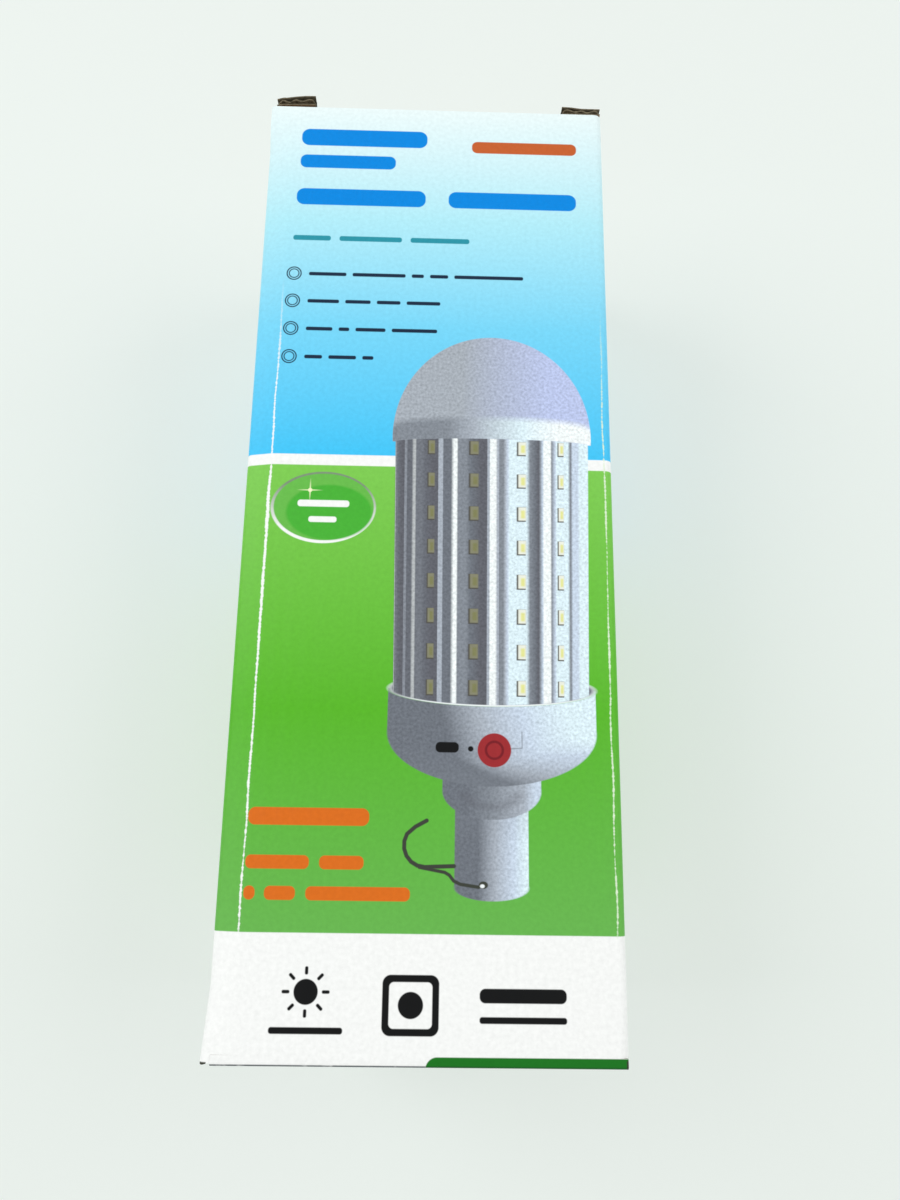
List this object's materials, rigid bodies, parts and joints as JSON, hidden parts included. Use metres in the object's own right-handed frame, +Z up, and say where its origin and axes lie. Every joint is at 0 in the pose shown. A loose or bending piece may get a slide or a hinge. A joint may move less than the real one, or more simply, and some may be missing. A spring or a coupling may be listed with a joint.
{
  "type": "tuck end folding carton",
  "caption": "Printed folding carton of thin corrugated board for a battery lamp, lying on its back, with a hinged tuck-in lid at each end.",
  "frame": {"origin": "middle of the back panel's outer face, on which the carton lies", "axes": "+X to the right across the front panel, +Y along the carton towards its top end, +Z up out of the front panel"},
  "size_m": [0.08, 0.214, 0.08],
  "materials": {
    "printed_board": "gloss laminated print on the outside, bare brown kraft liner inside and on the raw edges"
  },
  "bodies": {
    "carton": {"carton_body": "printed_board"},
    "top_flap": {"top_lid": "printed_board"},
    "bottom_flap": {"bottom_lid": "printed_board"}
  },
  "joints": [
    {"name": "top_lid_hinge", "type": "hinge", "parent": "carton", "child": "top_flap", "pos_m": [0, 0.107, 0], "axis": [-1, 0, 0], "range_deg": [0, 90]},
    {"name": "bottom_lid_hinge", "type": "hinge", "parent": "carton", "child": "bottom_flap", "pos_m": [0, -0.107, 0.08], "axis": [-1, 0, 0], "range_deg": [0, 120]}
  ]
}
